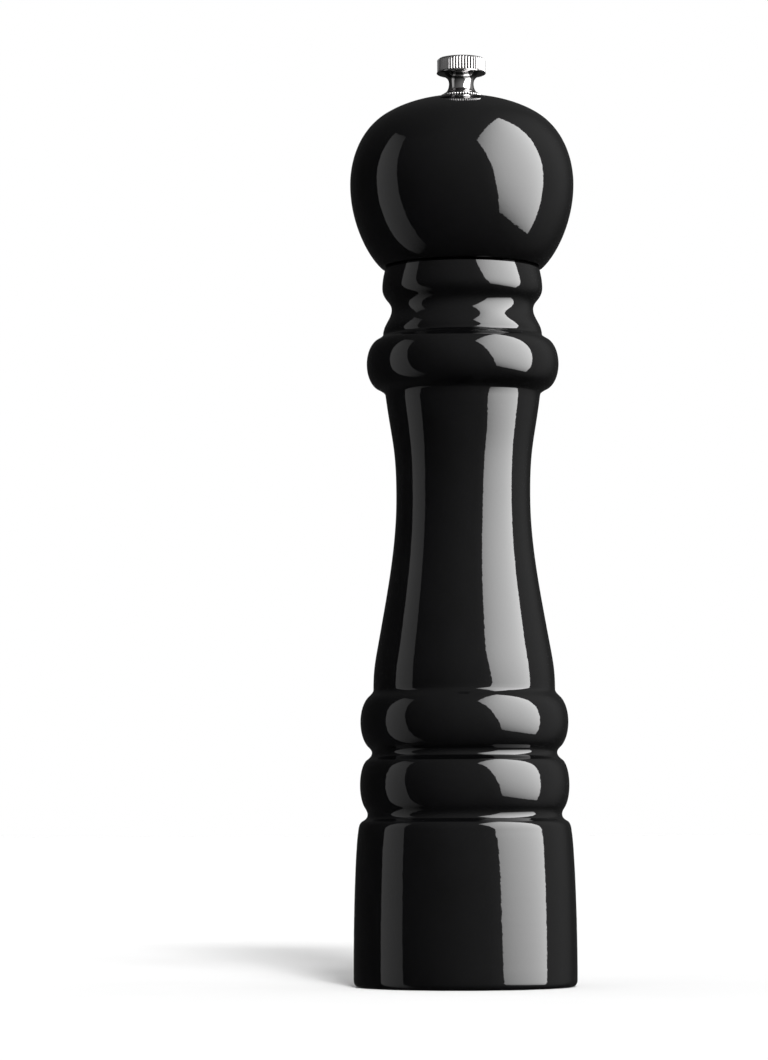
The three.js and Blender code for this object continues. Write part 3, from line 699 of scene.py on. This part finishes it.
def screw_places(screw):
    """Even places round the axis, the first one on +Y."""
    angles = [math.pi / 2 + TAU * i / screw["count"] for i in range(screw["count"])]
    return [(screw["circle"] * math.cos(a), screw["circle"] * math.sin(a)) for a in angles]


def drive_disc():
    radius, top, edge = 13.5, 218.0, 0.15
    square_half, square_corner, screw_hole = 3.35, 0.6, 1.6
    holes = [rounded_square(square_half, square_corner)]
    holes += [circle(screw_hole, x, y, sides=32) for x, y in screw_places(PLATE_SCREW)]
    return plate("drive_disc", circle(radius), holes, PLATE_SCREW["face"], top, edge)


def slotted_screw(name, x, y, screw):
    """A domed wood screw driven upward, its head under its plate's lower face."""
    head, height, shank, length = screw["head"], screw["height"], screw["shank"], screw["length"]
    head_gap, head_edge, tip_gap, thread_depth = 0.05, 0.12, 0.3, 0.3
    under = screw["face"] - head_gap
    low = under - height
    tip = under + length - tip_gap
    pitch = shank
    thread_start = under + 0.15 * length
    taper = tip - 2.2 * shank
    neck, neck_end = (shank + 0.15, under), (shank, under + 0.2)
    dome_bend, dome_edge = (0.62 * head, low), (0.86 * head, low + 0.32 * height)
    side_bend, side_top = (head, low + 0.6 * height), (head, low + 0.85 * height)
    slot_depth, slot_width, slot_length = 0.42 * height, 0.27 * head, 3 * head
    rows_per_turn, tip_rows = 6, 8

    def thread(radii, heights, angles):
        z = heights[0]
        if z > thread_start and radii[0] > SLACK:
            fade = min((z - thread_start) / pitch, 1.0)
            wave = thread_wave(heights, angles, pitch)
            radii = radii * (1 - thread_depth * fade * wave)
        return radii, heights, angles

    outline = [(0, low)]
    outline += quadratic(outline[-1], dome_bend, dome_edge, steps=8)
    outline += quadratic(outline[-1], side_bend, side_top, steps=5)
    outline += [(head - head_edge, under), neck, neck_end]
    rows = int((taper - thread_start) / (pitch / rows_per_turn))
    outline += [(shank, thread_start + (taper - thread_start) * i / rows) for i in range(rows + 1)]
    outline += [(shank * (1 - i / tip_rows), taper + (tip - taper) * i / tip_rows)
                for i in range(1, tip_rows)]
    outline += [(0, tip)]
    piece = revolve(name, outline, sides=32, shape=thread, sharp=40)
    piece = carve(piece, slot_cutter(low - 1, low + slot_depth, slot_width, slot_length))
    return at_centre(piece, x, y)


def pressed_housing():
    """A drawn cup round the burrs, with a flange below and a lip for the bridge above."""
    flange, radius, bore, hopper = 26.3, 21.2, 19.8, 18.6
    low, high, shoulder, top, lip, lip_height = 6.3, 7.7, 32.3, 48.0, 15.6, 1.4
    flange_edge, edge, foot_bend, top_bend, lip_bend, step = 0.4, 0.3, 1.2, 2.0, 0.8, 0.2
    outline = [(bore, low + flange_edge), (bore + flange_edge, low)]
    outline += [(flange - flange_edge, low), (flange, low + flange_edge)]
    outline += [(flange, high - edge), (flange - edge, high), (radius + foot_bend, high)]
    outline += quadratic(outline[-1], (radius, high), (radius, high + foot_bend), steps=6)
    outline += [(radius, top - top_bend)]
    outline += quadratic(outline[-1], (radius, top), (radius - top_bend, top), steps=8)
    outline += [(lip + edge, top), (lip, top - edge)]
    outline += [(lip, top - lip_height + edge), (lip + edge, top - lip_height)]
    lip_end = (hopper, top - lip_height - lip_bend)
    outline += [(hopper - lip_bend, top - lip_height)]
    outline += quadratic(outline[-1], (hopper, top - lip_height), lip_end, steps=5)
    outline += [(hopper, shoulder + step), (hopper + step, shoulder), (bore, shoulder - 0.1)]
    return revolve("pressed_housing", outline, sides=144, closed=True)


def outer_ridge(z):
    """Radius of the outer burr's ridges on its grinding cone."""
    return RIDGE_RADIUS + RIDGE_SLOPE * (BURR_WAIST - z)


def saw(angles, teeth):
    """Rises evenly across each tooth and drops at its end."""
    return (angles * teeth / TAU) % 1.0


def fixed_burr():
    sides_per_tooth = 12
    skirt, radius, bottom, top, teeth_bottom = 17.6, 19.5, 6.3, 32.0, 14.0
    skirt_edge, edge = 0.3, 0.4
    throat, throat_edge, funnel, narrowing, funnel_rows = 15.5, 15.9, 15.6, 2.2, 8

    def teeth(radii, heights, angles):
        if radii[0] < skirt - SLACK:
            radii = radii + TOOTH_DEPTH * saw(angles, OUTER_TEETH)
        return radii, heights, angles

    outline = [(skirt, bottom + skirt_edge), (skirt + skirt_edge, bottom)]
    outline += [(radius - edge, bottom), (radius, bottom + edge)]
    outline += [(radius, top - edge), (radius - edge, top), (throat_edge, top), (throat, top - edge)]
    outline += [(funnel - narrowing * i / funnel_rows, top - (top - BURR_WAIST) * i / funnel_rows)
                for i in range(1, funnel_rows + 1)]
    outline += [(outer_ridge(z), z) for z in np.linspace(BURR_WAIST, teeth_bottom, 8)[1:]]
    outline += [(skirt, teeth_bottom - 1)]
    return revolve("fixed_burr", outline, OUTER_TEETH * sides_per_tooth, teeth, closed=True, sharp=30)


def turning_burr():
    sides_per_tooth = 15
    bottom, cone_top, top, top_radius, gap = 13.0, 20.5, 29.0, 7.2, 0.9
    bore, bore_corner, bore_edge, hub, cone_edge = 3.2, 0.6, 0.2, 1.2, 0.4

    def shape(radii, heights, angles):
        z = heights[0]
        if radii[0] < bore + SLACK:
            return square_radius(angles, radii[0], bore_corner), heights, angles
        if radii[0] > top_radius + SLACK:
            radii = radii - TOOTH_DEPTH * saw(-angles, INNER_TEETH)
        return radii, heights, angles - math.radians(INNER_TOOTH_LEAD * (z - bottom))

    cone = [(outer_ridge(z) - gap, z) for z in np.linspace(bottom + cone_edge, cone_top, 8)]
    start, end = cone[-1], (top_radius, top)
    feed = list(zip(np.linspace(start[0], end[0], 9)[1:], np.linspace(start[1], end[1], 9)[1:]))
    outline = [(bore, bottom + bore_edge), (bore + hub, bottom), (cone[0][0] - cone_edge, bottom)]
    outline += [*cone, *feed, (bore + hub, top), (bore, top - bore_edge)]
    return revolve("turning_burr", outline, INNER_TEETH * sides_per_tooth, shape, closed=True, sharp=30)


def strip_outline(reach, half_width, boss=None, steps=12):
    """A strip along X with ends rounded about the axis, and a round boss in its middle.

    reach is the radius of its ends, and boss that of the boss.
    """
    end = math.asin(half_width / reach)
    points = [(reach * math.cos(a), reach * math.sin(a)) for a in np.linspace(-end, end, steps)]
    if boss is not None:
        foot = math.asin(half_width / boss)
        arc = np.linspace(foot, math.pi - foot, 4 * steps)
        points += [(boss * math.cos(a), boss * math.sin(a)) for a in arc]
    points += [(-x, -y) for x, y in points]
    return points


def spring_bridge():
    reach, half_width, boss = 18.2, 4.0, 7.8
    bottom, top, edge = 45.0, 46.3, 0.2
    spindle_hole, rivet_hole = 4.7, 1.1
    holes = [circle(spindle_hole, sides=64)]
    holes += [circle(rivet_hole, x, 0, sides=24) for x in RIVET_PLACES]
    return plate("spring_bridge", strip_outline(reach, half_width, boss), holes, bottom, top, edge)


def foot_bar():
    reach, half_width, top, edge = 26.1, 4.5, 6.0, 0.25
    spindle_hole, screw_hole = 2.9, 1.8
    outline = [(-y, x) for x, y in strip_outline(reach, half_width)]
    holes = [circle(spindle_hole, sides=48)]
    holes += [circle(screw_hole, x, y, sides=24) for x, y in screw_places(BAR_SCREW)]
    return plate("foot_bar", outline, holes, BAR_SCREW["face"], top, edge)


def domed_rivet(name, x):
    shank, head, height = 0.9, 1.5, 0.9
    lower, upper = 44.95, 48.05
    dome = [(head * math.cos(a), height * math.sin(a)) for a in np.radians(range(0, 90, 10))]
    outline = [(0, lower - height)] + [(r, lower - z) for r, z in reversed(dome)]
    outline += [(shank, lower), (shank, upper)] + [(r, upper + z) for r, z in dome] + [(0, upper + height)]
    return at_centre(revolve(name, outline, sides=32), x, 0)


def rounded_ring(name, inner, outer, bottom, top, edge=0.2, sides=96):
    outline = [(inner, bottom + edge), (inner + edge, bottom)]
    outline += [(outer - edge, bottom), (outer, bottom + edge)]
    outline += [(outer, top - edge), (outer - edge, top), (inner + edge, top), (inner, top - edge)]
    return revolve(name, outline, sides, closed=True)


def coil_spring():
    """A compression spring whose end coils lie closer together and are ground flat."""
    coil, wire, turns, closing = 5.4, 0.6, 5, 0.45
    inset = 0.45
    low, high = SPRING_LOW + inset, SPRING_HIGH - inset
    around, steps_per_turn = 16, 40
    along = steps_per_turn * turns
    vertices, faces = [], []
    for i in range(along + 1):
        t = i / along
        angle = TAU * turns * t
        z = low + (high - low) * (t - closing * math.sin(TAU * t) / TAU)
        for j in range(around):
            turn = TAU * j / around
            r = coil + wire * math.cos(turn)
            height = min(max(z + wire * math.sin(turn), SPRING_LOW), SPRING_HIGH)
            vertices.append((r * math.cos(angle), r * math.sin(angle), height))
    for i in range(along):
        for j in range(around):
            k = (j + 1) % around
            faces.append((i * around + j, i * around + k, (i + 1) * around + k, (i + 1) * around + j))
    faces.append(tuple(reversed(range(around))))
    faces.append(tuple(along * around + j for j in range(around)))
    return mesh_object("coil_spring", vertices, faces, sharp=50)


def hex_nut():
    apothem, bore, bottom, top, bore_edge = 3.95, 2.55, 7.4, 11.1, 0.4
    face, bevel, corner = 3.7, 4.1, 4.65
    bevel_rise, corner_rise = 0.25, 0.6

    def hexagon(radii, heights, angles):
        if radii[0] > bore + bore_edge + SLACK:
            across = (angles % (TAU / 6)) - TAU / 12
            radii = np.minimum(radii, apothem / np.cos(across))
        return radii, heights, angles

    outline = [(bore, bottom + bore_edge), (bore + bore_edge, bottom), (face, bottom)]
    outline += [(bevel, bottom + bevel_rise), (corner, bottom + corner_rise)]
    outline += [(corner, top - corner_rise), (bevel, top - bevel_rise), (face, top)]
    outline += [(bore + bore_edge, top), (bore, top - bore_edge)]
    return revolve("hex_nut", outline, sides=144, shape=hexagon, closed=True, sharp=30)


def build_mill():
    lacquer, wood, chrome = black_lacquer(), raw_beech(), polished_chrome()
    drawn, pressed, hardened = drawn_steel(), pressed_steel(), hardened_steel()
    zinc, wire = zinc_plate(), spring_wire()
    settle(turned_body(), "mill_body", ["mill_body"], "black_lacquer", lacquer, wood)
    settle(domed_head(), "head", ["head"], "black_lacquer", lacquer, wood)
    settle(knurled_nut(), "thumb_nut", ["thumb_nut"], "polished_chrome", chrome)
    settle(beaded_washer(), "top_washer", ["top_washer"], "polished_chrome", chrome)
    settle(square_spindle(), "spindle", ["spindle"], "drawn_steel", drawn)
    settle(drive_disc(), "head", ["drive_plate"], "pressed_steel", pressed)
    for i, (x, y) in enumerate(screw_places(PLATE_SCREW), 1):
        piece = slotted_screw(f"plate_screw_{i}", x, y, PLATE_SCREW)
        settle(piece, "head", [f"drive_plate_screw_{i}"], "zinc_plated", zinc)
    settle(pressed_housing(), "mill_body", ["burr_housing"], "pressed_steel", pressed)
    settle(fixed_burr(), "mill_body", ["outer_burr"], "hardened_steel", hardened)
    settle(turning_burr(), "spindle", ["inner_burr"], "hardened_steel", hardened)
    settle(spring_bridge(), "mill_body", ["upper_bridge"], "pressed_steel", pressed)
    for i, x in enumerate(RIVET_PLACES, 1):
        settle(domed_rivet(f"rivet_{i}", x), "mill_body", [f"bridge_rivet_{i}"], "zinc_plated", zinc)
    thrust_washer = rounded_ring("thrust_washer", **THRUST_WASHER)
    settle(thrust_washer, "turning_set", ["spring_washer"], "zinc_plated", zinc)
    spring = settle(coil_spring(), "turning_set", ["grinder_spring"], "spring_steel", wire)
    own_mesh(spring)
    lower_washer = rounded_ring("lower_washer", **LOWER_WASHER)
    settle(lower_washer, "spindle", ["burr_washer"], "zinc_plated", zinc)
    settle(hex_nut(), "spindle", ["burr_nut"], "zinc_plated", zinc)
    settle(foot_bar(), "mill_body", ["retaining_bar"], "pressed_steel", pressed)
    for i, (x, y) in enumerate(screw_places(BAR_SCREW), 1):
        piece = slotted_screw(f"foot_screw_{i}", x, y, BAR_SCREW)
        settle(piece, "mill_body", [f"bar_screw_{i}"], "zinc_plated", zinc)


# ---- studio --------------------------------------------------------------------------------------


class NodeKit:
    """Short ways to add nodes to a light's or a world's tree."""

    def __init__(self, tree):
        self.add, self.link = tree.nodes.new, tree.links.new

    def maths(self, operation, *values):
        """A Math node. Each value is a number or another node's output."""
        node = self.add("ShaderNodeMath")
        node.operation = operation
        for socket, value in zip(node.inputs, values):
            if isinstance(value, (int, float)):
                socket.default_value = value
            else:
                self.link(value, socket)
        return node.outputs[0]

    def ranged(self, source, low, high, to_low, to_high, smooth=False):
        """A value taken from low and high to to_low and to_high, and kept between those."""
        node = self.add("ShaderNodeMapRange")
        node.interpolation_type = "SMOOTHSTEP" if smooth else "LINEAR"
        sockets = ("From Min", "From Max", "To Min", "To Max")
        for socket, value in zip(sockets, (low, high, to_low, to_high)):
            node.inputs[socket].default_value = value
        self.link(source, node.inputs["Value"])
        return node.outputs["Result"]


def place_camera():
    camera = bpy.data.objects.new("camera", bpy.data.cameras.new("camera"))
    camera.data.lens = CAMERA["lens"]
    camera.data.sensor_width = CAMERA["sensor"]
    camera.data.clip_end = CAMERA_REACH
    turn = Matrix.Rotation(math.radians(CAMERA["turn"]), 4, "Z")
    tilt = Matrix.Rotation(math.radians(90 + CAMERA["tilt"]), 4, "X")
    roll = Matrix.Rotation(math.radians(CAMERA["roll"]), 4, "Z")
    place = Matrix.Translation((0, -CAMERA["distance"], CAMERA["height"]))
    camera.matrix_world = place @ turn @ tilt @ roll
    bpy.context.scene.collection.objects.link(camera)
    bpy.context.scene.camera = camera


def lay_floor():
    reach = FLOOR_REACH
    corners = [(-reach, -reach, 0), (reach, -reach, 0), (reach, reach, 0), (-reach, reach, 0)]
    mesh = bpy.data.meshes.new("floor")
    mesh.from_pydata(corners, [], [(0, 1, 2, 3)])
    floor = bpy.data.objects.new("floor", mesh)
    mesh.materials.append(pale_floor())
    floor.visible_glossy = False
    bpy.context.scene.collection.objects.link(floor)


def softbox(name, centre, heading, pitch, lean, width, height, radiance, slant, middle, falloff):
    """A rectangular light that is seen only as a reflection.

    Its glow changes by slant from one side to the other, and fades from middle towards both ends.
    """
    light = bpy.data.lights.new(name, "AREA")
    light.shape = "RECTANGLE"
    light.size, light.size_y = width, height
    light.energy = radiance * width * height * math.pi
    light.use_nodes = True
    nodes = NodeKit(light.node_tree)
    spot = nodes.add("ShaderNodeSeparateXYZ")
    nodes.link(nodes.add("ShaderNodeNewGeometry").outputs["Parametric"], spot.inputs[0])
    side = nodes.ranged(spot.outputs["X"], 0, 1, 1 - slant / 2, 1 + slant / 2)
    away = nodes.maths("SUBTRACT", spot.outputs["Y"], 0.5 + middle)
    fade = nodes.maths("MULTIPLY_ADD", nodes.maths("POWER", away, 2), -falloff, 1)
    emission = light.node_tree.nodes["Emission"]
    nodes.link(nodes.maths("MULTIPLY", side, fade), emission.inputs["Strength"])
    obj = bpy.data.objects.new(name, light)
    turn = Matrix.Rotation(math.radians(heading), 4, "Z") @ Matrix.Rotation(math.radians(-pitch), 4, "Y")
    stand = Matrix.Rotation(math.radians(90 + lean), 4, "X")
    obj.matrix_world = Matrix.Translation(centre) @ turn @ stand
    obj.visible_camera = False
    obj.visible_diffuse = False
    bpy.context.scene.collection.objects.link(obj)


def far_light(name, azimuth, elevation, spread, strength):
    """An even light from far away, which throws a soft shadow."""
    light = bpy.data.lights.new(name, "SUN")
    light.energy = strength
    light.angle = math.radians(spread)
    obj = bpy.data.objects.new(name, light)
    obj.rotation_euler = (math.radians(90 - elevation), 0, math.radians(azimuth))
    obj.visible_glossy = False
    bpy.context.scene.collection.objects.link(obj)


def towards(azimuth, elevation):
    """The unit vector from the mill, azimuth degrees to the right of the way to the camera."""
    azimuth, elevation = math.radians(azimuth), math.radians(elevation)
    level = math.cos(elevation)
    return (math.sin(azimuth) * level, -math.cos(azimuth) * level, math.sin(elevation))


def light_world():
    """White behind the object, an even fill for matt surfaces, and a dim room in reflections."""
    world = bpy.data.worlds.new("studio")
    bpy.context.scene.world = world
    world.use_nodes = True
    world.node_tree.nodes.clear()
    nodes = NodeKit(world.node_tree)
    path = nodes.add("ShaderNodeLightPath")
    direction = nodes.add("ShaderNodeTexCoord").outputs["Generated"]

    def background(strength):
        node = nodes.add("ShaderNodeBackground")
        node.inputs["Color"].default_value = (1, 1, 1, 1)
        node.inputs["Strength"].default_value = strength
        return node

    def nearness(glow):
        node = nodes.add("ShaderNodeVectorMath")
        node.operation = "DOT_PRODUCT"
        node.inputs[1].default_value = towards(glow["azimuth"], glow["elevation"])
        nodes.link(direction, node.inputs[0])
        return node.outputs["Value"]

    def mixed(factor, first, second):
        node = nodes.add("ShaderNodeMixShader")
        nodes.link(factor, node.inputs["Fac"])
        nodes.link(first, node.inputs[1])
        nodes.link(second, node.inputs[2])
        return node.outputs[0]

    wide = nodes.maths("POWER", nodes.ranged(nearness(WIDE_GLOW), WIDE_GLOW["edge"], 1, 0, 1), 2)
    right = nodes.ranged(nearness(RIGHT_GLOW), RIGHT_GLOW["edge"], RIGHT_GLOW["full"],
                         0, RIGHT_GLOW["radiance"], smooth=True)
    room = background(1.0)
    glow = nodes.maths("MULTIPLY_ADD", wide, WIDE_GLOW["radiance"], ROOM_RADIANCE)
    nodes.link(nodes.maths("ADD", glow, right), room.inputs["Strength"])
    fill, white = background(FILL_RADIANCE), background(1.0)
    seen = mixed(path.outputs["Is Glossy Ray"], fill.outputs[0], room.outputs[0])
    seen = mixed(path.outputs["Is Camera Ray"], seen, white.outputs[0])
    nodes.link(seen, nodes.add("ShaderNodeOutputWorld").inputs["Surface"])


build_mill()
place_camera()
lay_floor()
softbox("softbox_right", **RIGHT_SOFTBOX)
softbox("softbox_left", **LEFT_SOFTBOX)
far_light("key_light", **KEY_LIGHT)
far_light("side_light", **SIDE_LIGHT)
light_world()
bpy.context.scene.view_settings.view_transform = "Standard"

bpy.context.view_layer.update()
